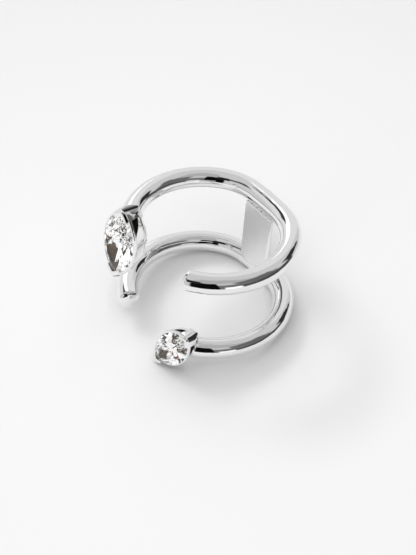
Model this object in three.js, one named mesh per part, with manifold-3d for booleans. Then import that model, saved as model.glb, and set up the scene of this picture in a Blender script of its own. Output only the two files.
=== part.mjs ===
// An open finger ring: two bands of round wire, a bridge plate that joins them at one side,
// and a marquise stone in a V-prong cup at one end of each band.
// Millimetres. The finger axis is built along +Z, and the last group tips the whole ring into
// the pose in which it rests on a table.
import * as THREE from "three";
import { mergeVertices } from "three/addons/utils/BufferGeometryUtils.js";
import Module from "manifold-3d";

// Bands. Azimuths are degrees round the finger axis, 0 along +X and 90 along +Y.
const WIRE_DIAMETER = 2.65;
const BAND_RADIUS = 9.83;         // finger axis to wire centre, the mean
const BAND_OVALITY = 0.02;        // the ring is this share narrower between plate and opening
const BAND_SPACING = 10.65;       // wire centre to wire centre
const UPPER_BAND = { height: BAND_SPACING / 2, plainEnd: 259.5, stoneEnd: 191 };
const LOWER_BAND = { height: -BAND_SPACING / 2, plainEnd: 193.5, stoneEnd: 256 };
const WIRE_SIDES = 20;
const BAND_STEPS = 84;
const END_DOME = 0.45;            // how far a plain end bulges

// The bands run straight behind the bridge plate.
const STRAIGHT_AZIMUTH = 41;
const STRAIGHT_HALF_ANGLE = 17.5;
const STRAIGHT_SHARPNESS = 60;    // higher is a tighter bend into the straight stretch

// Bridge plate, seen from the finger: its inner face, and how far it is from the finger axis.
const PLATE = { distance: 7.75, thickness: 1.7, left: 2.9, right: -2.45, top: 4.28, bottom: -5.34 };
const PLATE_CORNER = 0.25;

// Settings. Each stone faces out of the opening between the plain ends.
const FACE_AZIMUTH = 229;
const FACE_LIFT = 3;              // degrees that the stones look up
const STONE_DISTANCE = 10.23;     // finger axis to girdle plane, along the facing direction
const LARGE = { length: 10, width: 5, across: -5.14, height: 5.59, lean: 4.6 };
const SMALL = { length: 8, width: 4, across: 4.54, height: -5.06, lean: 35.4 };

// Cut of a stone: heights are shares of its width.
const CROWN = 0.15;               // girdle to table
const GIRDLE = 0.03;
const PAVILION = 0.42;            // girdle to the keel at the bottom
const TABLE = 0.58;               // the table's share of the outline, both ways
const KEEL = { length: 0.16, width: 0.02 };
const STONE_GAP = 0.12;           // millimetres between a stone and its metal
const OUTLINE_STEPS = 9;          // edges along each side of the outline
const TIP_GROWTH = 2.5;           // added length for each unit that both sides move out

// Cup round a stone: shares of the stone's outline, then of its width.
const CUP_FOOT = 0.8;
const CUP_BORE = { foot: 0.6, rim: 0.9 };
const CUP_DEPTH = 0.46;           // girdle to foot
const CUP_WALL = 0.07;
const PRONG_WALL = 0.09;
const PRONG_RISE = 0.1;           // above the girdle's lower edge
const PRONG_LENGTH = 0.085;       // a share of the stone's length, back from its tip
const WINDOW = { radius: 0.17, along: 0.24, below: 0.2, sides: 12 };   // along: of the length

// How the ring lies on a table: on the prong below the small stone and on the lower band.
const REST_TILT = 6.17;
const REST_TOWARDS = 47.5;

const WELD = 1e-4;                // millimetres within which two corners are one

const wasm = await Module();
wasm.setup();
const radians = THREE.MathUtils.degToRad;

function toSolid(geometry) {
  const bare = geometry.clone();
  bare.deleteAttribute("normal");
  bare.deleteAttribute("uv");
  const merged = mergeVertices(bare, WELD);
  const mesh = new wasm.Mesh({
    numProp: 3,
    vertProperties: new Float32Array(merged.attributes.position.array),
    triVerts: new Uint32Array(merged.index.array),
  });
  return new wasm.Manifold(mesh);
}

function toGeometry(solid) {
  const mesh = solid.getMesh();
  const geometry = new THREE.BufferGeometry();
  geometry.setAttribute("position", new THREE.BufferAttribute(mesh.vertProperties, 3));
  geometry.setIndex(new THREE.BufferAttribute(mesh.triVerts, 1));
  geometry.computeVertexNormals();
  return geometry;
}

// The wire's centre line: an oval that is cut short where it runs straight behind the plate.
class BandPath extends THREE.Curve {
  constructor({ height, plainEnd, stoneEnd }) {
    super();
    // Either end may be the start of the sweep, but it always goes round through azimuth 0.
    this.start = radians(plainEnd > stoneEnd ? plainEnd - 360 : plainEnd);
    this.end = radians(plainEnd > stoneEnd ? stoneEnd : stoneEnd - 360);
    this.height = height;
  }

  getPoint(t) {
    const azimuth = THREE.MathUtils.lerp(this.start, this.end, t);
    const radius = bandRadius(azimuth);
    return new THREE.Vector3(radius * Math.cos(azimuth), radius * Math.sin(azimuth), this.height);
  }
}

function bandRadius(azimuth) {
  const oval = BAND_RADIUS * (1 - BAND_OVALITY * Math.sin(2 * azimuth));
  const toChord = Math.max(0, Math.cos(azimuth - radians(STRAIGHT_AZIMUTH)));
  const chord = toChord / Math.cos(radians(STRAIGHT_HALF_ANGLE));
  return oval * (1 + chord ** STRAIGHT_SHARPNESS) ** (-1 / STRAIGHT_SHARPNESS);
}

function band(places) {
  const path = new BandPath(places);
  const section = new THREE.Shape();
  section.absarc(0, 0, WIRE_DIAMETER / 2, 0, 2 * Math.PI);
  const wire = new THREE.ExtrudeGeometry(section, {
    steps: BAND_STEPS,
    curveSegments: WIRE_SIDES / 2,
    bevelEnabled: false,
    extrudePath: path,
  });
  const dome = new THREE.SphereGeometry(WIRE_DIAMETER / 2, WIRE_SIDES, WIRE_SIDES / 2);
  dome.scale(1, END_DOME / (WIRE_DIAMETER / 2), 1);
  const tip = new THREE.Object3D();
  tip.position.copy(path.getPoint(0));
  tip.quaternion.setFromUnitVectors(new THREE.Vector3(0, 1, 0), path.getTangent(0));
  tip.updateMatrix();
  dome.applyMatrix4(tip.matrix);
  return toSolid(wire).add(toSolid(dome));
}

function bridgePlate() {
  const { distance, thickness, left, right, top, bottom } = PLATE;
  const outline = new THREE.Shape();
  const c = PLATE_CORNER;
  outline.moveTo(0, right + c);
  outline.lineTo(0, left - c);
  outline.lineTo(c, left);
  outline.lineTo(thickness, left);
  outline.lineTo(thickness, right);
  outline.lineTo(c, right);
  outline.closePath();
  const plate = new THREE.ExtrudeGeometry(outline, { depth: top - bottom, bevelEnabled: false });
  plate.translate(distance, 0, bottom);
  plate.rotateZ(radians(STRAIGHT_AZIMUTH));
  return toSolid(plate);
}

// A marquise outline: two equal arcs that meet in points on the Y axis.
function marquise(length, width) {
  const half = { length: length / 2, width: width / 2 };
  const radius = (half.length ** 2 + half.width ** 2) / (2 * half.width);
  const sweep = Math.asin(half.length / radius);
  const points = [];
  for (const side of [1, -1]) {
    for (let i = 0; i < OUTLINE_STEPS; i++) {
      const angle = side * THREE.MathUtils.lerp(-sweep, sweep, i / OUTLINE_STEPS);
      const x = side * (radius * Math.cos(angle) - radius + half.width);
      points.push(new THREE.Vector2(x, radius * Math.sin(angle)));
    }
  }
  return points;
}

// A closed solid through marquise outlines of the given sizes and heights.
function loft(sections) {
  const rings = sections.map(({ length, width }) => marquise(length, width));
  const count = rings[0].length;
  const positions = [];
  rings.forEach((ring, level) => ring.forEach((p) => positions.push(p.x, p.y, sections[level].z)));
  const index = [];
  for (let level = 0; level + 1 < rings.length; level++) {
    for (let i = 0; i < count; i++) {
      const here = level * count + i;
      const next = level * count + ((i + 1) % count);
      index.push(here, next, here + count, next, next + count, here + count);
    }
  }
  const top = (rings.length - 1) * count;
  for (let i = 1; i + 1 < count; i++) {
    index.push(0, i + 1, i);
    index.push(top, top + i, top + i + 1);
  }
  const geometry = new THREE.BufferGeometry();
  geometry.setAttribute("position", new THREE.Float32BufferAttribute(positions, 3));
  geometry.setIndex(index);
  return geometry;
}

// The stone, girdle centre at the origin and table up. `grow` swells it on every side.
function stone({ length, width }, grow = 0) {
  const level = (share, z, wider = grow) => ({
    length: share * length + TIP_GROWTH * wider,
    width: share * width + 2 * wider,
    z,
  });
  return loft([
    {
      length: KEEL.length * length + 2 * grow,
      width: KEEL.width * width + 2 * grow,
      z: -PAVILION * width - grow,
    },
    level(1, 0),
    level(1, GIRDLE * width),
    level(TABLE, (GIRDLE + CROWN) * width + grow),
  ]);
}

// Keeps the two tips of a stone's length, where the prongs are.
function tipRegion({ length, width }) {
  const reach = PRONG_LENGTH * length;
  const block = (side) => {
    const box = new THREE.BoxGeometry(2 * width, 2 * reach, 2 * width);
    return box.translate(0, side * (length / 2), 0);
  };
  return toSolid(block(1)).add(toSolid(block(-1)));
}

// A cup with straight walls below its rim and walls that lean in towards its foot, and a thicker
// V-shaped prong round each tip of the stone.
function setting(size) {
  const { length, width } = size;
  const foot = -CUP_DEPTH * width;
  const level = (share, wall, z) => ({
    length: share * length + TIP_GROWTH * wall * width,
    width: share * width + 2 * wall * width,
    z,
  });
  const shell = (thickness, rim) => toSolid(loft([
    level(CUP_FOOT, thickness, foot),
    level(1, thickness, foot / 3),
    level(1, thickness, rim),
  ]));
  const prongs = shell(PRONG_WALL, PRONG_RISE * width).intersect(tipRegion(size));
  const bore = toSolid(loft([
    level(CUP_BORE.foot, 0, 2 * foot),
    level(CUP_BORE.foot, 0, foot / 2),
    level(CUP_BORE.rim, 0, 0),
  ]));
  const metal = shell(CUP_WALL, 0).add(prongs).subtract(bore).subtract(toSolid(stone(size, STONE_GAP)));
  const windows = [1, -1].map((end) => {
    const radius = WINDOW.radius * width;
    const hole = new THREE.CylinderGeometry(radius, radius, 2 * width, WINDOW.sides);
    hole.rotateZ(Math.PI / 2);
    hole.translate(0, end * WINDOW.along * length, -WINDOW.below * width);
    return toSolid(hole);
  });
  return metal.subtract(windows[0]).subtract(windows[1]);
}

// Where a stone sits and faces, as a matrix: X across it, Y along it, Z out of its table.
function seat({ across, height, lean }) {
  const azimuth = radians(FACE_AZIMUTH);
  const out = new THREE.Vector3(Math.cos(azimuth), Math.sin(azimuth), 0);
  const sideways = new THREE.Vector3(-Math.sin(azimuth), Math.cos(azimuth), 0);
  const up = new THREE.Vector3(0, 0, 1);
  const place = new THREE.Vector3()
    .addScaledVector(out, STONE_DISTANCE)
    .addScaledVector(sideways, across)
    .addScaledVector(up, height);
  const face = out.clone().multiplyScalar(Math.cos(radians(FACE_LIFT)));
  face.addScaledVector(up, Math.sin(radians(FACE_LIFT)));
  const upright = new THREE.Vector3().crossVectors(face, sideways);
  const along = upright.multiplyScalar(Math.cos(radians(lean)));
  along.addScaledVector(sideways, Math.sin(radians(lean)));
  const width = new THREE.Vector3().crossVectors(along, face);
  return new THREE.Matrix4().makeBasis(width, along, face).setPosition(place);
}

function placed(solid, matrix) {
  return solid.transform(matrix.elements);
}

function ringBody() {
  let metal = band(UPPER_BAND).add(band(LOWER_BAND)).add(bridgePlate());
  for (const size of [LARGE, SMALL]) {
    const clearance = toSolid(stone(size, STONE_GAP));
    metal = metal.subtract(placed(clearance, seat(size)));
  }
  return metal.add(placed(setting(LARGE), seat(LARGE))).add(placed(setting(SMALL), seat(SMALL)));
}

const silver = new THREE.MeshStandardMaterial({ color: 0xd9dadb, roughness: 0.08, metalness: 1 });
const crystal = new THREE.MeshStandardMaterial({ color: 0xf2f4f6, roughness: 0.02, metalness: 0 });

function piece(name, geometry, material) {
  const mesh = new THREE.Mesh(geometry, material);
  mesh.name = name;
  return mesh;
}

function seatedStone(name, size) {
  const gem = piece(name, stone(size), crystal);
  gem.applyMatrix4(seat(size));
  return gem;
}

const ring = new THREE.Group();
ring.add(piece("ring_body", toGeometry(ringBody()), silver));
ring.add(seatedStone("stone_large", LARGE));
ring.add(seatedStone("stone_small", SMALL));

const resting = new THREE.Group();
const towards = radians(REST_TOWARDS);
const hinge = new THREE.Vector3(-Math.sin(towards), Math.cos(towards), 0);
resting.quaternion.setFromAxisAngle(hinge, radians(REST_TILT));
resting.add(ring);

// The origin is on the table, under the middle of the ring's box.
const box = new THREE.Box3().setFromObject(resting, true);
const middle = box.getCenter(new THREE.Vector3());
resting.position.set(-middle.x, -middle.y, -box.min.z);

export default resting;
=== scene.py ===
"""An open silver ring with two marquise stones, lying on its side on a pale table.

Every piece is drawn in the ring's own frame: millimetres, the finger axis along Z, and azimuths
round it from +X. RESTING then tips it into the pose in which it lies, in metres."""

import math

import bmesh
import bpy
from mathutils import Matrix, Vector
from mathutils.geometry import intersect_plane_plane


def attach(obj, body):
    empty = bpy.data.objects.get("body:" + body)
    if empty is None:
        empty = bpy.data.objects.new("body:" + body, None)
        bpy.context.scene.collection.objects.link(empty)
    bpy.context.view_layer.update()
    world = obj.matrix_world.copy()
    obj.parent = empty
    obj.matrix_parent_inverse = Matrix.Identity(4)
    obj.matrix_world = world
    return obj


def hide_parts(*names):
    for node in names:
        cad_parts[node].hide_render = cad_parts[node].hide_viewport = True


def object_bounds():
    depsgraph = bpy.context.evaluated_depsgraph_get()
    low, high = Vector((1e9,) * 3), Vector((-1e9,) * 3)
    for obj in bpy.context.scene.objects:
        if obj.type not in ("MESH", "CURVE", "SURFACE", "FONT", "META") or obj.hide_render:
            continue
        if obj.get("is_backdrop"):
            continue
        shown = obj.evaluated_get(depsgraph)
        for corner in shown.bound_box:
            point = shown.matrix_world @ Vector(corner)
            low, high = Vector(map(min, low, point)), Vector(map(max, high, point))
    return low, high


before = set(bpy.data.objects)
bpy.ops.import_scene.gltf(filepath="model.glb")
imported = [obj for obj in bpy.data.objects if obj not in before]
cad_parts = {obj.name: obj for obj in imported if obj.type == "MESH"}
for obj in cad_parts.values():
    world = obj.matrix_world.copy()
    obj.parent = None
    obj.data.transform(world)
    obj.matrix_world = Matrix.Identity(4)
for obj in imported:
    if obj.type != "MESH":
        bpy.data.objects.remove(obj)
cad_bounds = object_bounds()


# Camera
# A long lens looks down on the ring from in front, turned a little about its own axis. Light that
# enters a stone is mirrored many times inside it, so a path may have many bounces.
MM = 0.001
LOOKS_AT = Vector((0.53, -0.76, 6.22)) * MM
CAMERA_DISTANCE = 196.6 * MM
CAMERA_ELEVATION = math.radians(47.03)
CAMERA_TURN = math.radians(5.32)
CAMERA_ROLL = math.radians(-1.65)
LENS = 137.6
STONE_BOUNCES = 40
ALL_BOUNCES = 64

camera = bpy.data.objects.new("camera", bpy.data.cameras.new("camera"))
bpy.context.scene.collection.objects.link(camera)
camera.data.sensor_fit = "HORIZONTAL"
camera.data.lens = LENS
camera.data.clip_start = MM
camera.matrix_world = (
    Matrix.Translation(LOOKS_AT)
    @ Matrix.Rotation(CAMERA_TURN, 4, "Z")
    @ Matrix.Rotation(math.pi / 2 - CAMERA_ELEVATION, 4, "X")
    @ Matrix.Rotation(CAMERA_ROLL, 4, "Z")
    @ Matrix.Translation((0, 0, CAMERA_DISTANCE))
)
bpy.context.scene.camera = camera
bpy.context.scene.view_settings.view_transform = "Standard"
bpy.context.scene.cycles.glossy_bounces = STONE_BOUNCES
bpy.context.scene.cycles.transmission_bounces = STONE_BOUNCES
bpy.context.scene.cycles.max_bounces = ALL_BOUNCES


# Light
# A white tent stands round the table. Each panel is a soft-edged patch of it, brighter or darker
# than the rest: azimuths and elevations in degrees, edge softness in degrees, brightness. Each lamp
# shines through the tent: azimuth, elevation, width and height in degrees, brightness, distance.
TENT = 0.64             # the brightness that the metal mirrors
TENT_SEEN = 0.93        # and the brightness behind the table
STONE_TENT = 1.9        # the stones show the tent brighter, and with less contrast
STONE_SOFTENING = 0.5
PANELS = {
    "back wall": ((60, 172), (-5, 48), 12, 0.80),
    "softbox": ((101, 127), (20, 50), 4, 1.25),
    "front top": ((-100, -20), (52, 76), 10, 0.46),
    "right hand dusk": ((-46, -4), (-12, 42), 11, 0.14),
    "right front dusk": ((-78, -40), (-12, 24), 16, 0.17),
    "right hand slot": ((-50, 20), (-12, 12), 5, 0.08),
    "left hand edge": ((-178, -120), (43, 53), 4, 0.08),
    "left hand post": ((130, 150), (28, 54), 4, 0.05),
    "bright card": ((-69, -53), (-14, 6), 4, 1.25),
    "front gap": ((-107, -78), (-12, 46), 3, 0.004),
    "front gap tail": ((-120, -99), (34, 54), 4, 0.02),
    "right hand flag": ((20, 40), (8, 28), 4, 0.03),
}
# These cards show only in the stones, and give them their dark facets and their fire.
STONE_PANELS = {
    "left hand card": ((-147, -130), (9, 40), 3, "#180D06"),
    "right hand card": ((-66, -29), (39, 51), 3, "#3A2A14"),
    "front card": ((-122, -98), (3, 21), 3, "#080A14"),
    "orange glint": ((-160, -150), (4, 16), 2, "#A0501C"),
    "blue glint": ((-37, -28), (35, 43), 2, "#6E86F0"),
    "red glint": ((-16, -10), (42, 47), 2, "#E06050"),
}
LAMPS = {
    "softbox lamp": (139, 42, 22, 13, 9.5, 1.5),
    "softbox glow": (136, 40, 60, 34, 1.0, 1.5),
    "overhead cloth": (-90, 84, 52, 52, 1.45, 0.14),
    "front cloth": (-100, 42, 80, 44, 0.7, 1.5),
}


def linear(code):
    """An sRGB hex colour as linear RGBA."""
    channels = (int(code[i:i + 2], 16) / 255 for i in (1, 3, 5))
    levels = (c / 12.92 if c <= 0.04045 else ((c + 0.055) / 1.055) ** 2.4 for c in channels)
    return (*levels, 1.0)


def add_node(tree, kind, inputs=(), **settings):
    """A node with these settings. Each input is (name or number, value or the socket it reads)."""
    node = tree.nodes.new(kind)
    for name, value in settings.items():
        setattr(node, name, value)
    for name, value in dict(inputs).items():
        if isinstance(value, bpy.types.NodeSocket):
            tree.links.new(value, node.inputs[name])
        else:
            node.inputs[name].default_value = value
    return node


world = bpy.data.worlds.new("white tent")
bpy.context.scene.world = world
world.use_nodes = True
sky = world.node_tree
sky.nodes.clear()


def within(value, low, high, soft):
    """1 where value lies between low and high, fading to 0 over soft outside them."""
    middle, half = (low + high) / 2, (high - low) / 2
    off_centre = add_node(sky, "ShaderNodeMath", {0: value, 1: middle}, operation="SUBTRACT")
    distance = add_node(sky, "ShaderNodeMath", {0: off_centre.outputs[0]}, operation="ABSOLUTE")
    fade = add_node(
        sky,
        "ShaderNodeMapRange",
        {
            "Value": distance.outputs[0],
            "From Min": half,
            "From Max": half + soft,
            "To Min": 1,
            "To Max": 0,
        },
        interpolation_type="SMOOTHSTEP",
    )
    return fade.outputs[0]


def grey(level):
    """A neutral colour of this brightness."""
    return (level, level, level, 1)


def with_panel(behind, azimuths, elevations, soft, colour):
    """The tent's colour with one more panel in front of it."""
    west, east = azimuths
    turned = add_node(
        sky,
        "ShaderNodeVectorRotate",
        {"Vector": direction, "Angle": -math.radians((west + east) / 2)},
        rotation_type="Z_AXIS",
    )
    flat = add_node(sky, "ShaderNodeSeparateXYZ", {0: turned.outputs[0]}).outputs
    azimuth = add_node(sky, "ShaderNodeMath", {0: flat["Y"], 1: flat["X"]}, operation="ARCTAN2")
    half = math.radians((east - west) / 2)
    low, high = (math.radians(degrees) for degrees in elevations)
    across = within(azimuth.outputs[0], -half, half, math.radians(soft))
    upward = within(elevation, low, high, math.radians(soft))
    patch = add_node(sky, "ShaderNodeMath", {0: across, 1: upward}, operation="MULTIPLY")
    layers = {"Factor": patch.outputs[0], 6: behind, 7: colour}
    return add_node(sky, "ShaderNodeMix", layers, data_type="RGBA").outputs[2]


direction = add_node(sky, "ShaderNodeTexCoord").outputs["Generated"]
height = add_node(sky, "ShaderNodeSeparateXYZ", {0: direction}).outputs["Z"]
elevation = add_node(sky, "ShaderNodeMath", {0: height}, operation="ARCSINE").outputs[0]
tent = grey(TENT)
for azimuths, elevations, soft, level in PANELS.values():
    tent = with_panel(tent, azimuths, elevations, soft, grey(level))
softened = {"Factor": STONE_SOFTENING, 6: tent, 7: grey(STONE_TENT)}
softer = add_node(sky, "ShaderNodeMix", softened, data_type="RGBA").outputs[2]
for azimuths, elevations, soft, code in STONE_PANELS.values():
    softer = with_panel(softer, azimuths, elevations, soft, linear(code))
paths = add_node(sky, "ShaderNodeLightPath").outputs
mirrored = {"Factor": paths["Is Transmission Ray"], 6: tent, 7: softer}
either = add_node(sky, "ShaderNodeMix", mirrored, data_type="RGBA").outputs[2]
seen = {"Factor": paths["Is Camera Ray"], 6: either, 7: grey(TENT_SEEN)}
shown = add_node(sky, "ShaderNodeMix", seen, data_type="RGBA").outputs[2]
background = add_node(sky, "ShaderNodeBackground", {"Color": shown})
add_node(sky, "ShaderNodeOutputWorld", {"Surface": background.outputs[0]})

for name, (azimuth, rise, width, height, level, away) in LAMPS.items():
    light = bpy.data.lights.new(name, "AREA")
    light.shape = "RECTANGLE"
    light.size = 2 * away * math.tan(math.radians(width / 2))
    light.size_y = 2 * away * math.tan(math.radians(height / 2))
    light.energy = level * math.pi * light.size * light.size_y
    lamp = bpy.data.objects.new(name, light)
    bpy.context.scene.collection.objects.link(lamp)
    lamp.matrix_world = (
        Matrix.Rotation(math.radians(azimuth) + math.pi / 2, 4, "Z")
        @ Matrix.Rotation(math.pi / 2 - math.radians(rise), 4, "X")
        @ Matrix.Translation((0, 0, away))
    )
    lamp.visible_camera = False
    lamp.visible_glossy = False
    lamp.visible_transmission = False


# Table
# A sheet of matt white card. Its front and right-hand edges are near enough to show in the metal.
TABLE_LEFT, TABLE_RIGHT = -0.4, 0.1
TABLE_FRONT, TABLE_BACK = -0.095, 0.4
CARD_WHITE = "#E0E0E0"


def new_material(name, **values):
    """A material with one Principled shader and these values on its sockets."""
    material = bpy.data.materials.new(name)
    material.use_nodes = True
    shader = material.node_tree.nodes["Principled BSDF"]
    for socket, value in values.items():
        shader.inputs[socket.replace("_", " ")].default_value = value
    return material, material.node_tree, shader


# Card has no gloss, so it shows only light and soft shadow.
card, _, _ = new_material(
    "matt white card", Base_Color=linear(CARD_WHITE), Roughness=0.8, Specular_IOR_Level=0.2
)


def new_piece(name, mesh, materials):
    """An object at the origin that holds a finished mesh."""
    piece = bpy.data.objects.new(name, mesh)
    bpy.context.scene.collection.objects.link(piece)
    for material in materials:
        mesh.materials.append(material)
    return piece


table_mesh = bpy.data.meshes.new("table")
table_mesh.from_pydata(
    [
        (TABLE_LEFT, TABLE_FRONT, 0),
        (TABLE_RIGHT, TABLE_FRONT, 0),
        (TABLE_RIGHT, TABLE_BACK, 0),
        (TABLE_LEFT, TABLE_BACK, 0),
    ],
    [],
    [(0, 1, 2, 3)],
)
new_piece("table", table_mesh, [card])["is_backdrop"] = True


# Bands
# Two lengths of round sterling silver wire, bent to the finger, hammered straight behind the
# bridge plate and polished. One end of each is rounded off and the other is soldered to a cup.

# The ring rests on the prong under its small stone and on its lower band, so its finger axis
# leans. Its centre is the middle of the finger hole, half-way between the two bands.
REST_TILT = math.radians(6.17)
REST_TOWARDS = math.radians(47.5)
RING_CENTRE = Vector((0.4215, 0.7279, 7.6177))

hinge = Vector((-math.sin(REST_TOWARDS), math.cos(REST_TOWARDS), 0))
RESTING = (
    Matrix.Scale(MM, 4)
    @ Matrix.Translation(RING_CENTRE)
    @ Matrix.Rotation(REST_TILT, 4, hinge)
)

WIRE_DIAMETER = 2.63
BAND_RADIUS = 9.83
BAND_OVALITY = 0.02
BAND_SPACING = 10.65
STRAIGHT_AZIMUTH = 41
STRAIGHT_HALF_ANGLE = 17.5
STRAIGHT_SHARPNESS = 18
BANDS = {
    "upper_band": {"height": BAND_SPACING / 2, "plain_end": -100.5, "stone_end": 191},
    "lower_band": {"height": -BAND_SPACING / 2, "plain_end": 193.5, "stone_end": -97},
}
END_DEPTH = 0.72        # how far a rounded end bulges
END_ROUNDNESS = 2.5     # 2 is an ellipsoid, more is flatter in the middle
END_STEPS = 24
END_TIP = 0.02          # share of the wire's radius at which the end is closed
WIRE_SIDES = 72
SILVER = "#F1F1F1"
POLISH_WAVE = 2.6       # millimetres between the faint waves that hand polishing leaves
POLISH_DEPTH = 0.09     # and how deep they are
POLISH_STRENGTH = 0.6

# Polished silver is nearly a perfect mirror. What it shows bends a little at each wave.
silver, silver_tree, silver_shader = new_material(
    "polished sterling silver", Base_Color=linear(SILVER), Metallic=1, Roughness=0.035
)
where = add_node(silver_tree, "ShaderNodeTexCoord").outputs["Object"]
waves = add_node(
    silver_tree,
    "ShaderNodeTexNoise",
    {"Vector": where, "Scale": 1 / (POLISH_WAVE * MM), "Detail": 2},
)
hand_polish = add_node(
    silver_tree,
    "ShaderNodeBump",
    {
        "Height": waves.outputs["Fac"],
        "Strength": POLISH_STRENGTH,
        "Distance": POLISH_DEPTH * MM,
    },
)
silver_tree.links.new(hand_polish.outputs[0], silver_shader.inputs["Normal"])


def band_radius(azimuth):
    """Finger axis to wire centre: an oval, cut short where the wire runs straight."""
    oval = BAND_RADIUS * (1 - BAND_OVALITY * math.sin(2 * azimuth))
    towards = max(0.0, math.cos(azimuth - math.radians(STRAIGHT_AZIMUTH)))
    chord = towards / math.cos(math.radians(STRAIGHT_HALF_ANGLE))
    return oval * (1 + chord ** STRAIGHT_SHARPNESS) ** (-1 / STRAIGHT_SHARPNESS)


def rounded_end():
    """(distance from the tip, share of the wire's radius) along a filed and rounded end."""
    power = END_ROUNDNESS
    for k in range(1, END_STEPS + 1):
        share = math.sin(math.pi / 2 * k / END_STEPS) if k < END_STEPS else 1
        share = max(share, END_TIP)
        yield END_DEPTH * (1 - (1 - share ** power) ** (1 / power)), share


def centre_line(height, plain_end, stone_end):
    """(point, share of the wire's radius) from the plain end to the end in the cup."""
    turn = 1 if stone_end > plain_end else -1
    start = math.radians(plain_end) - turn * END_DEPTH / BAND_RADIUS
    stations = [(start + turn * along / BAND_RADIUS, share) for along, share in rounded_end()]
    count = int(abs(stone_end - plain_end))     # one step for each degree
    first = stations[-1][0]
    last = math.radians(stone_end)
    stations += [(first + (last - first) * k / count, 1) for k in range(1, count + 1)]
    for azimuth, share in stations:
        radius = band_radius(azimuth)
        yield Vector((radius * math.cos(azimuth), radius * math.sin(azimuth), height)), share


# Sweeps a round section along a line, whose own radius scales it, and closes both ends.
wire_tree = bpy.data.node_groups.new("draw wire along a line", "GeometryNodeTree")
WIRE_INPUTS = {
    "Line": "Geometry",
    "Wire Radius": "Float",
    "Sides": "Int",
    "Finish": "Material",
}
for title, kind in WIRE_INPUTS.items():
    wire_tree.interface.new_socket(title, in_out="INPUT", socket_type="NodeSocket" + kind)
wire_tree.interface.new_socket("Wire", in_out="OUTPUT", socket_type="NodeSocketGeometry")
given = add_node(wire_tree, "NodeGroupInput").outputs
section = add_node(
    wire_tree,
    "GeometryNodeCurvePrimitiveCircle",
    {"Resolution": given["Sides"], "Radius": given["Wire Radius"]},
)
drawn = add_node(
    wire_tree,
    "GeometryNodeCurveToMesh",
    {
        "Curve": given["Line"],
        "Profile Curve": section.outputs["Curve"],
        "Scale": add_node(wire_tree, "GeometryNodeInputRadius").outputs[0],
        "Fill Caps": True,
    },
)
rounded = add_node(wire_tree, "GeometryNodeSetShadeSmooth", {"Geometry": drawn.outputs[0]})
real = add_node(wire_tree, "GeometryNodeRealizeInstances", {"Geometry": rounded.outputs[0]})
finished = add_node(
    wire_tree, "GeometryNodeSetMaterial", {"Geometry": real.outputs[0], "Material": given["Finish"]}
)
add_node(wire_tree, "NodeGroupOutput", {"Wire": finished.outputs[0]})


def swept(line, tree, inputs):
    """The plain mesh that a Geometry Nodes tree makes of an object."""
    modifier = line.modifiers.new("sweep", "NODES")
    modifier.node_group = tree
    for item in tree.interface.items_tree:
        if item.in_out == "INPUT" and item.name in inputs:
            modifier[item.identifier] = inputs[item.name]
    graph = bpy.context.evaluated_depsgraph_get()
    mesh = bpy.data.meshes.new_from_object(line.evaluated_get(graph), depsgraph=graph)
    bpy.data.objects.remove(line)
    return mesh


for name, places in BANDS.items():
    stations = list(centre_line(**places))
    curve = bpy.data.curves.new(name + " line", "CURVE")
    curve.dimensions = "3D"
    spline = curve.splines.new("POLY")
    spline.points.add(len(stations) - 1)
    for point, (place, share) in zip(spline.points, stations):
        point.co = (*place, 1)
        point.radius = share
    line = bpy.data.objects.new(name + " line", curve)
    bpy.context.scene.collection.objects.link(line)
    sizes = {"Wire Radius": WIRE_DIAMETER / 2, "Sides": WIRE_SIDES, "Finish": silver}
    mesh = swept(line, wire_tree, sizes)
    mesh.transform(RESTING)
    band = new_piece(name, mesh, [])
    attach(band, "root")
    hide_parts("ring_body")


# Bridge plate
# A flat silver bar soldered inside both bands. Its edges are polished with the wire, and its
# inner face, which lies on the finger, is left with a fine satin finish.
PLATE_DISTANCE = 7.75
PLATE_THICKNESS = 1.7
PLATE_ACROSS = (-2.45, 2.9)
PLATE_HEIGHTS = (-5.34, 4.28)
PLATE_BEVEL = 0.2
BEVEL_STEPS = 3
PLATE_TAPER = 0.6       # how much narrower the inner face is at its bottom, all on one side
FACES_FINGER = -0.999   # the inner face looks straight in, so its normal's X is below this
SATIN_GRAIN = 0.09      # millimetres between the fine marks of the satin wheel
SATIN_DEPTH = 0.01      # and how deep they are
SATIN_STRENGTH = 0.4

# The satin wheel's fine marks blur what the face mirrors into one soft grey.
satin, satin_tree, satin_shader = new_material(
    "satin sterling silver", Base_Color=linear("#F0F0F0"), Metallic=1, Roughness=0.36
)
where = add_node(satin_tree, "ShaderNodeTexCoord").outputs["Object"]
grain = add_node(
    satin_tree,
    "ShaderNodeTexNoise",
    {"Vector": where, "Scale": 1 / (SATIN_GRAIN * MM), "Detail": 3},
)
marks = add_node(
    satin_tree,
    "ShaderNodeBump",
    {
        "Height": grain.outputs["Fac"],
        "Strength": SATIN_STRENGTH,
        "Distance": SATIN_DEPTH * MM,
    },
)
satin_tree.links.new(marks.outputs[0], satin_shader.inputs["Normal"])

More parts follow.
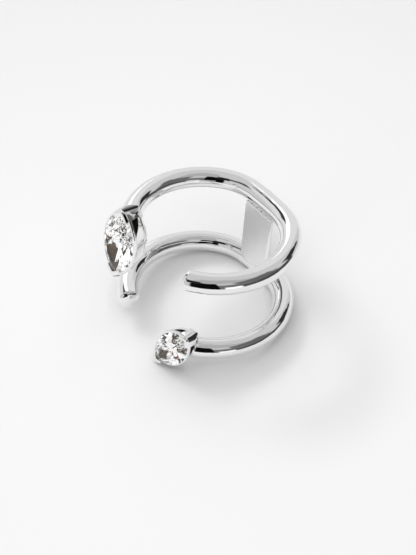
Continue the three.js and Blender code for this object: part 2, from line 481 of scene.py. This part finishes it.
shape = bmesh.new()
corners = bmesh.ops.create_cube(shape, size=1)["verts"]
size = Vector((
    PLATE_THICKNESS,
    PLATE_ACROSS[1] - PLATE_ACROSS[0],
    PLATE_HEIGHTS[1] - PLATE_HEIGHTS[0],
))
middle = Vector((
    PLATE_DISTANCE + PLATE_THICKNESS / 2,
    sum(PLATE_ACROSS) / 2,
    sum(PLATE_HEIGHTS) / 2,
))
bmesh.ops.scale(shape, vec=size, verts=corners)
bmesh.ops.translate(shape, vec=middle, verts=corners)
bmesh.ops.bevel(
    shape,
    geom=shape.edges[:],
    offset=PLATE_BEVEL,
    offset_type="OFFSET",
    segments=BEVEL_STEPS,
    profile=0.5,
    affect="EDGES",
)
for face in shape.faces:
    face.material_index = 1 if face.normal.x < FACES_FINGER else 0
    face.smooth = True
for vert in shape.verts:
    if vert.co.x < PLATE_DISTANCE + PLATE_BEVEL / 2 and vert.co.y < 0:
        vert.co.y += PLATE_TAPER * (PLATE_HEIGHTS[1] - vert.co.z) / size.z
plate_mesh = bpy.data.meshes.new("bridge_plate")
shape.to_mesh(plate_mesh)
shape.free()
AT_PLATE = RESTING @ Matrix.Rotation(math.radians(STRAIGHT_AZIMUTH), 4, "Z")
plate_mesh.transform(AT_PLATE)
plate = new_piece("bridge_plate", plate_mesh, [silver, satin])
keep_flat = plate.modifiers.new("flat faces", "WEIGHTED_NORMAL")
keep_flat.keep_sharp = True
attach(plate, "root")
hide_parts("ring_body")


# Solder seam
# Where the plate's upper edge meets the band, silver solder has run into an uneven fillet. It was
# polished with the wire but not filed, so it keeps its small lumps.
SOLDER_PLACE = (8.33, 4.28)     # distance from the finger axis, height
SOLDER_RADIUS = 0.3
SOLDER_SIDES = 24
SOLDER_STEP = 0.05
SOLDER_SHORT = 0.2      # how far from each side of the plate it stops
SOLDER_LUMPS = ((1, 7.1, 0), (0.7, 13.7, 1.1), (0.4, 29, 0))    # how much, radians a mm, start
SOLDER_WANDER = 0.03    # how far the lumps move it, in millimetres
SOLDER_SWELL = 0.22     # how much they thicken it, as a share
SOLDER_FADE = 8         # steps over which each end tapers off
SOLDER_TIP = 0.3        # how many steps into that taper its tip lies

curve = bpy.data.curves.new("solder line", "CURVE")
curve.dimensions = "3D"
spline = curve.splines.new("POLY")
reach = PLATE_ACROSS[1] - PLATE_ACROSS[0] - 2 * SOLDER_SHORT
count = int(reach / SOLDER_STEP)
spline.points.add(count)
for k, point in enumerate(spline.points):
    across = PLATE_ACROSS[0] + SOLDER_SHORT + k * SOLDER_STEP
    lump = sum(much * math.sin(turns * across + start) for much, turns, start in SOLDER_LUMPS)
    from_end = min(k, count - k)
    fade = min(1.0, (from_end + SOLDER_TIP) / SOLDER_FADE)
    point.co = (SOLDER_PLACE[0] + SOLDER_WANDER * lump, across, SOLDER_PLACE[1], 1)
    point.radius = fade * (1 + SOLDER_SWELL * lump)
line = bpy.data.objects.new("solder line", curve)
bpy.context.scene.collection.objects.link(line)
sizes = {"Wire Radius": SOLDER_RADIUS, "Sides": SOLDER_SIDES, "Finish": silver}
mesh = swept(line, wire_tree, sizes)
mesh.transform(AT_PLATE)
seam = new_piece("solder_seam", mesh, [])
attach(seam, "root")
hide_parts("ring_body")


# Cups
# Each stone sits in a marquise cup of cast silver, which is soldered to the end of a band. A rail
# runs round its foot, the wall above it is sunk into a pocket beside each tip, whose back is
# painted black as the shade of a window into the cup, and a V-shaped prong is bent over each tip of
# the stone, with its corner filed off.
FACE_AZIMUTH = 229
FACE_LIFT = 3
STONE_DISTANCE = 10.23
STONES = {
    "large": {
        "length": 10, "width": 5, "across": -5.14, "height": 5.59, "lean": 4.6, "file_marks": True,
    },
    "small": {
        "length": 8, "width": 4, "across": 4.54, "height": -5.06, "lean": 35.4, "file_marks": False,
    },
}
OUTLINE_STEPS = 36      # edges along each side of the outline
CUP_FOOT = -0.46        # heights and walls are shares of the stone's width
CUP_WALL = 0.065
CUP_LEAN = 0.2          # how much smaller the outline is at the foot
LEAN_FROM = -0.16       # the height below which it gets smaller
LEAN_OVER = 0.30        # and over how much height
GROOVE_DEPTH = 0.02     # of the groove above the rail
FLOOR_HOLE = 0.2        # the hole under the stone, as a share of the outline
POCKET_TOP = -0.035
POCKET_SILL = -0.29
POCKET_WALL = 0.012     # the wall that is left behind a pocket
POCKET_CURVE = 0.8      # below 1, the sill drops sooner than in a straight line
POCKET_RISE = 5         # 5 means a pocket is at its full depth a fifth of the way along
POCKET_FROM = 0.43      # of the stone's length, from its middle
POCKET_TO = 0.24
PRONG_WALL = 0.09
PRONG_REACH = 0.085     # of the stone's length, back from its tip
ARM_STEPS = 8
TIP_STEPS = 12
PRONG_ENDS = {1: 1.056, -1: 1.075}       # how far out each tip's corner is filed off
END_CROWN = 0.8         # how rounded the filed ends are from side to side
END_LEAN = 0.2          # how steeply the filed ends lean in towards the foot
END_HEIGHT = 0.1        # the height at which PRONG_ENDS is measured
WELD = 0.002            # corners closer than this are one, in millimetres
ON_END = 0.001          # a corner this near to the filed end lies on it
CREASE = 32             # edges sharper than this stay sharp, in degrees

UNPOLISHED_ROUGHNESS = 0.5
PATCH_SCALE = 0.9     # millimetres between the darker patches
FILED_ROUGHNESS = 0.3
FILE_MARKS = 0.55       # millimetres between the marks that the file left
FILE_CONTRAST = (0.42, 0.62)    # the narrower, the harder the marks' edges


def dull_shaded_silver(name, dark, light):
    """Dull silver in random patches of a dark and a light tone, which paints shade; in the cups it
    also stands for real silver sulphide.
    """
    made, tree, shader = new_material(
        name, Base_Color=linear(light), Metallic=1, Roughness=UNPOLISHED_ROUGHNESS
    )
    where = add_node(tree, "ShaderNodeTexCoord").outputs["Object"]
    patches = add_node(
        tree,
        "ShaderNodeTexNoise",
        {"Vector": where, "Scale": 1 / (PATCH_SCALE * MM), "Detail": 2},
    )
    shades = {"Factor": patches.outputs["Fac"], 6: linear(dark), 7: linear(light)}
    two_tone = add_node(tree, "ShaderNodeMix", shades, data_type="RGBA")
    tree.links.new(two_tone.outputs[2], shader.inputs["Base Color"])
    return made


# Painted shade: the back of each pocket and the lip of the lower prong are dull silver painted
# nearly black. Inside each cup, below the stone's middle, silver sulphide is painted darker brown
# as shade, and its brown shows through the stones.
painted_shade_black = dull_shaded_silver("silver painted black for shade", "#0C0A08", "#4A4238")
tarnish_and_painted_shade = dull_shaded_silver("silver sulphide with painted shade under the stones", "#1E1306", "#8E6A38")


def seat(across, height, lean, **_):
    """Local X across a stone, Y along it and Z out of its table, placed in the ring's frame."""
    azimuth = math.radians(FACE_AZIMUTH)
    out = Vector((math.cos(azimuth), math.sin(azimuth), 0))
    sideways = Vector((-math.sin(azimuth), math.cos(azimuth), 0))
    up = Vector((0, 0, 1))
    place = STONE_DISTANCE * out + across * sideways + height * up
    face = math.cos(math.radians(FACE_LIFT)) * out + math.sin(math.radians(FACE_LIFT)) * up
    upright = face.cross(sideways)
    along = math.cos(math.radians(lean)) * upright + math.sin(math.radians(lean)) * sideways
    axes = Matrix((along.cross(face), along, face)).transposed().to_4x4()
    return Matrix.Translation(place) @ axes


# The file leaves parallel scratches across the ends. Drawn as coarse as they need to show, they
# are uneven streaks of dark and light.
marked, marked_tree, marked_shader = new_material(
    "silver with the marks of the file",
    Base_Color=linear("#8A8A8A"),
    Metallic=1,
    Roughness=FILED_ROUGHNESS,
)
across_axis = (RESTING @ seat(**STONES["large"])).to_3x3() @ Vector((1, 0, 0))
across_axis.normalize()
where = add_node(marked_tree, "ShaderNodeTexCoord").outputs["Object"]
across = add_node(
    marked_tree, "ShaderNodeVectorMath", {0: where, 1: across_axis}, operation="DOT_PRODUCT"
)
marks = add_node(
    marked_tree,
    "ShaderNodeTexNoise",
    {"W": across.outputs["Value"], "Scale": 1 / (FILE_MARKS * MM), "Detail": 2},
    noise_dimensions="1D",
)
faint, strong = FILE_CONTRAST
spread = add_node(
    marked_tree,
    "ShaderNodeMapRange",
    {"Value": marks.outputs["Fac"], "From Min": faint, "From Max": strong},
)
shades = {"Factor": spread.outputs[0], 6: linear("#040404"), 7: linear("#BEBEBE")}
streaks = add_node(marked_tree, "ShaderNodeMix", shades, data_type="RGBA")
marked_tree.links.new(streaks.outputs[2], marked_shader.inputs["Base Color"])

# A cup's finishes and painted shades, in this order on its faces.
CUP_FINISHES_AND_SHADES = [silver, painted_shade_black, tarnish_and_painted_shade, marked]
POLISHED, SHADE_BLACK, TARNISH_AND_SHADE, MARKED = range(4)


class Marquise:
    """A marquise outline: two equal arcs that meet at tips on the Y axis."""

    def __init__(self, length, width):
        half_length, half_width = length / 2, width / 2
        self.length, self.width = length, width
        self.radius = (half_length ** 2 + half_width ** 2) / width
        self.offset = self.radius - half_width
        self.sweep = math.asin(half_length / self.radius)

    def point(self, side, turn, share=1.0, wall=0.0):
        """On the side's arc, turn from -1 to 1, shrunk to share and then grown by wall."""
        radius = share * self.radius + wall
        sweep = math.acos(min(1.0, share * self.offset / radius))
        angle = turn * sweep
        out = radius * math.cos(angle) - share * self.offset
        return Vector((side * out, radius * math.sin(angle), 0))

    def square_out(self, side, turn):
        """The direction square to the side's arc there."""
        angle = turn * self.sweep
        return Vector((side * math.cos(angle), math.sin(angle), 0))


def cup_section(pocket):
    """The wall's section as (share of the outline, wall, height), round from the foot. A pocket,
    from 0 to 1, is sunk into the outside beside each prong."""
    def lean(height):
        return 1 - CUP_LEAN * min(1.0, max(0.0, (LEAN_FROM - height) / LEAN_OVER))

    sill = POCKET_TOP + (POCKET_SILL - POCKET_TOP) * pocket ** POCKET_CURVE
    sunk = CUP_WALL - (CUP_WALL - POCKET_WALL) * min(1.0, POCKET_RISE * pocket)
    groove = CUP_WALL - GROOVE_DEPTH
    rail = [
        (CUP_FOOT, CUP_WALL - 0.014),
        (CUP_FOOT + 0.014, CUP_WALL),
        (-0.365, CUP_WALL),
        (-0.355, groove),
        (-0.325, groove),
        (-0.315, CUP_WALL),
        (-0.30, CUP_WALL),
    ]
    pocket_wall = [
        (sill, CUP_WALL),
        (sill + 0.003, sunk),
        (POCKET_TOP, sunk),
        (POCKET_TOP + 0.003, CUP_WALL),
    ]
    lip = [
        (1, CUP_WALL, -0.01),
        (1, CUP_WALL - 0.012, 0.012),
        (1, CUP_WALL - 0.03, 0.026),
        (1, 0.02, 0.034),
        (1, 0.006, 0.036),
        (1, 0.002, 0.032),
        (1, 0.002, 0.02),
    ]
    inside = [
        (1, 0.002, -0.004),
        (0.93, 0, -0.06),
        (0.80, 0, -0.14),
        (0.66, 0, -0.24),
        (0.60, 0, -0.36),
    ]
    floor = [
        (FLOOR_HOLE, 0, -0.38),
        (FLOOR_HOLE, 0, -0.41),
        (0.60, 0, -0.42),
        (0.634, 0, CUP_FOOT),
    ]
    outside = [(lean(height), wall, height) for height, wall in rail + pocket_wall]
    return outside + lip + inside + floor


# Steps round the sections that are dull and painted dark as shade, over silver sulphide inside the
# cup.
# A prong's are dark on the lower prong only.
POCKET_FACE = 8
INNER_FACES = range(17, 24)     # the inner wall, the floor's top and the hole in it
PRONG_LIP = (7, 11)             # the lip's outer slope and its inner edge, painted nearly black as shade
CUP_SHADED_STEPS = {POCKET_FACE: SHADE_BLACK, **{k: TARNISH_AND_SHADE for k in INNER_FACES}}
PRONG_SHADED_STEPS = {k: SHADE_BLACK for k in PRONG_LIP}
SHADED_BELOW = 0.08            # how far below the stone's middle the painted shade starts inside the cup, of its length


def loop_wall(shape, columns, closed, shaded_steps, shaded_below=0.0):
    """Faces between columns of points, each column a closed loop."""
    rings = [[shape.verts.new(p) for p in column] for column in columns]
    pairs = list(zip(rings, rings[1:] + rings[:1] if closed else rings[1:]))
    for here, there in pairs:
        for k in range(len(here)):
            n = (k + 1) % len(here)
            face = shape.faces.new((here[k], there[k], there[n], here[n]))
            # The listed steps are painted dark, as shade, where a face lies below the given
            # distance from the stone's middle; a pocket's back is painted dark all along.
            finish = shaded_steps.get(k, POLISHED)
            low = face.calc_center_median().y < -shaded_below
            face.material_index = finish if low or k == POCKET_FACE else POLISHED
    if not closed:
        shape.faces.new(list(reversed(rings[0])))
        shape.faces.new(rings[-1])


def filed_reach(point, width):
    """How far from the stone's middle the end lies that is filed across the point's tip."""
    end = PRONG_ENDS[1 if point.y > 0 else -1] + END_LEAN * (point.z / width - END_HEIGHT)
    return end * width - END_CROWN * point.x ** 2 / width


def filed(point, width):
    """The point, brought in to the filed end."""
    end = filed_reach(point, width)
    return Vector((point.x, max(-end, min(end, point.y)), point.z))


def on_filed_end(point, width):
    """Whether the point lies on a filed end."""
    return abs(abs(point.y) - filed_reach(point, width)) < ON_END


def cup_columns(outline):
    """The cup's wall, column by column round the outline."""
    width, length = outline.width, outline.length
    for side in (1, -1):
        for step in range(OUTLINE_STEPS):
            turn = side * (1 - 2 * step / OUTLINE_STEPS)
            along = abs(outline.point(side, turn).y) / length
            pocket = min(1.0, max(0.0, (along - POCKET_TO) / (POCKET_FROM - POCKET_TO)))
            column = [
                outline.point(side, turn, share, wall * width) + Vector((0, 0, height * width))
                for share, wall, height in cup_section(pocket)
            ]
            yield [filed(point, width) for point in column]


def prong_columns(outline, tip):
    """A V-shaped prong round one tip of the stone, from one arm's end to the other's."""
    width = outline.width
    reach = 1 - 2 * PRONG_REACH
    edge = math.asin(reach * outline.length / 2 / outline.radius) / outline.sweep
    outside = [
        (0.89, PRONG_WALL - 0.04, CUP_FOOT),
        (0.90, PRONG_WALL - 0.02, CUP_FOOT + 0.02),
        (0.925, PRONG_WALL - 0.005, CUP_FOOT + 0.07),
        (0.96, PRONG_WALL, -0.31),
        (1, PRONG_WALL, -0.2),
        (1, PRONG_WALL, -0.08),
        (1, PRONG_WALL, 0.03),
    ]
    lip = [
        (1, PRONG_WALL - 0.012, 0.055),
        (1, PRONG_WALL - 0.05, 0.105),
        (0.99, 0.025, 0.12),
        (0.93, 0, 0.118),
        (0.90, 0, 0.105),
        (0.905, 0, 0.080),
    ]
    inside = [
        (1, 0.006, 0.034),
        (1, 0.006, -0.01),
        (0.93, 0, -0.06),
        (0.80, 0, -0.14),
        (0.70, 0, CUP_FOOT),
    ]
    section = outside + lip + inside
    arm = [edge + (1 - edge) * k / ARM_STEPS for k in range(ARM_STEPS + 1)]
    places = [(tip, turn, 0) for turn in arm]
    places += [(tip, 1, k / TIP_STEPS) for k in range(1, TIP_STEPS)]
    places += [(-tip, turn, 1) for turn in reversed(arm)]
    for side, turn, round_tip in places:
        out = outline.square_out(side, tip * turn)
        if 0 < round_tip < 1:
            flank = outline.square_out(tip if round_tip < 0.5 else -tip, tip)
            one, other = outline.square_out(tip, tip), outline.square_out(-tip, tip)
            out = one.lerp(other, round_tip).normalized()
            out /= out.dot(flank)
        column = []
        for share, wall, height in section:
            on_outline = outline.point(side, tip * turn, share)
            column.append(on_outline + out * wall * width + Vector((0, 0, height * width)))
        yield [filed(point, width) for point in column]


for name, size in STONES.items():
    outline = Marquise(size["length"], size["width"])
    shape = bmesh.new()
    shaded_below = SHADED_BELOW * outline.length
    loop_wall(shape, list(cup_columns(outline)), True, CUP_SHADED_STEPS, shaded_below)
    for tip in (1, -1):
        loop_wall(shape, list(prong_columns(outline, tip)), False, PRONG_SHADED_STEPS)
    bmesh.ops.remove_doubles(shape, verts=shape.verts[:], dist=WELD)
    bmesh.ops.recalc_face_normals(shape, faces=shape.faces[:])
    if size["file_marks"]:
        for face in shape.faces:
            if all(on_filed_end(corner.co, outline.width) for corner in face.verts):
                face.material_index = MARKED
    cup_mesh = bpy.data.meshes.new(name + "_cup")
    shape.to_mesh(cup_mesh)
    shape.free()
    for polygon in cup_mesh.polygons:
        polygon.use_smooth = True
    cup_mesh.set_sharp_from_angle(angle=math.radians(CREASE))
    cup_mesh.transform(RESTING @ seat(**size))
    cup = new_piece(name + "_cup", cup_mesh, CUP_FINISHES_AND_SHADES)
    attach(cup, "root")
    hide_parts("ring_body")


# Stones
# Clear cubic zirconia in a marquise brilliant cut: a table, eight main facets on the crown and
# eight on the pavilion, and the star and girdle facets between them, each ground dead flat.
CROWN = 0.15            # heights are shares of the stone's width
GIRDLE = 0.03
PAVILION = 0.42
TABLE = 0.58            # the table's share of the outline
MAIN_TURNS = (1, 0.6, 0, -0.6)      # where the main facets touch each side, 1 and -1 at the tips
STAR_REACH = 0.45       # how far the stars reach from the table towards the girdle
GIRDLE_REACH = 0.2      # how near to the culet the lower girdle facets reach
GIRDLE_STEPS = 40       # edges along each side of the girdle
ROUGH_DEPTH = 1.1       # how deep the uncut stone is, as a share of the cut one
STONE_HEART = Vector((0, 0, -0.2))  # a point inside every cut, in millimetres
MERGED = 1e-5           # a cut meets corners closer than this, in millimetres
ZIRCONIA_INDEX = 2.17

# Zirconia is clear and bends light strongly, so each facet shows another part of what is round it.
# The tint holds back what its surface mirrors, so that its dark facets stay dark.
zirconia, _, _ = new_material(
    "clear cubic zirconia",
    Base_Color=linear("#FFFFFF"),
    Roughness=0.0,
    IOR=ZIRCONIA_INDEX,
    Transmission_Weight=1,
    Specular_Tint=linear("#808080"),
)


def cut_facet(stone, point, normal):
    """Grinds away what lies beyond a plane, and closes the cut with one flat facet."""
    normal = normal if normal.dot(point - STONE_HEART) > 0 else -normal
    geometry = stone.verts[:] + stone.edges[:] + stone.faces[:]
    cut = bmesh.ops.bisect_plane(
        stone, geom=geometry, plane_co=point, plane_no=normal, clear_outer=True, dist=MERGED
    )
    rim = [e for e in cut["geom_cut"] if isinstance(e, bmesh.types.BMEdge)]
    if rim:
        bmesh.ops.holes_fill(stone, edges=rim, sides=0)


def through(a, b, c):
    """The plane through three points, as (point, normal)."""
    return a, (b - a).cross(c - a).normalized()


def brilliant(outline):
    """A marquise brilliant, girdle centre at the origin and table up, in millimetres."""
    table_height = (GIRDLE + CROWN) * outline.width
    girdle_height = GIRDLE * outline.width
    culet_height = -PAVILION * outline.width
    to_table = Vector((0, 0, table_height))
    to_girdle = Vector((0, 0, girdle_height))
    culet = Vector((0, 0, culet_height))
    rough_foot = Vector((0, 0, culet_height * ROUGH_DEPTH))
    touches = [(side, side * turn) for side in (1, -1) for turn in MAIN_TURNS]

    stone = bmesh.new()
    girdle = [
        outline.point(side, side * (1 - 2 * k / GIRDLE_STEPS))
        for side in (1, -1)
        for k in range(GIRDLE_STEPS)
    ]
    low = [stone.verts.new(point + rough_foot) for point in girdle]
    high = [stone.verts.new(point + to_table) for point in girdle]
    stone.faces.new(list(reversed(low)))
    stone.faces.new(high)
    for k in range(len(girdle)):
        n = (k + 1) % len(girdle)
        stone.faces.new((low[k], low[n], high[n], high[k]))
    bmesh.ops.recalc_face_normals(stone, faces=stone.faces[:])

    def main_facets(k):
        """Where the k-th main facets touch the girdle, and their planes above it and below it."""
        side, turn = touches[k % len(touches)]
        at = outline.point(side, turn)
        if abs(turn) == 1:
            tangent = Vector((1, 0, 0))
        else:
            angle = turn * outline.sweep
            tangent = Vector((-side * math.sin(angle), math.cos(angle), 0))
        bezel = (
            at + to_girdle,
            tangent.cross(TABLE * at + to_table - at - to_girdle).normalized(),
        )
        pavilion = (at, tangent.cross(culet - at).normalized())
        return at, bezel, pavilion

    for k in range(len(touches)):
        (side_a, turn_a), (_, turn_b) = touches[k], touches[(k + 1) % len(touches)]
        between = outline.point(side_a, (turn_a + turn_b) / 2)
        at_a, bezel_a, pavilion_a = main_facets(k)
        at_b, bezel_b, pavilion_b = main_facets(k + 1)
        for plane in (bezel_a, pavilion_a):
            cut_facet(stone, *plane)
        on_ridge, along = intersect_plane_plane(*bezel_a, *bezel_b)
        top = on_ridge + along * ((table_height - on_ridge.z) / along.z)
        base = on_ridge + along * ((girdle_height - on_ridge.z) / along.z)
        star = top.lerp(base, STAR_REACH)
        cut_facet(stone, *through(TABLE * at_a + to_table, TABLE * at_b + to_table, star))
        cut_facet(stone, *through(at_a + to_girdle, between + to_girdle, star))
        cut_facet(stone, *through(between + to_girdle, at_b + to_girdle, star))
        on_ridge, along = intersect_plane_plane(*pavilion_a, *pavilion_b)
        base = on_ridge + along * ((0 - on_ridge.z) / along.z)
        lower = culet.lerp(base, GIRDLE_REACH)
        cut_facet(stone, *through(at_a, between, lower))
        cut_facet(stone, *through(between, at_b, lower))
    bmesh.ops.recalc_face_normals(stone, faces=stone.faces[:])
    return stone


for name, size in STONES.items():
    shape = brilliant(Marquise(size["length"], size["width"]))
    stone_mesh = bpy.data.meshes.new("marquise_" + name)
    shape.to_mesh(stone_mesh)
    shape.free()
    stone_mesh.transform(RESTING @ seat(**size))
    stone = new_piece("marquise_" + name, stone_mesh, [zirconia])
    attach(stone, "root")
    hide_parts("stone_" + name)


# The two boxes, for comparison: the CAD model's and this one's.
[[list(corner) for corner in box] for box in (cad_bounds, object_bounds())]
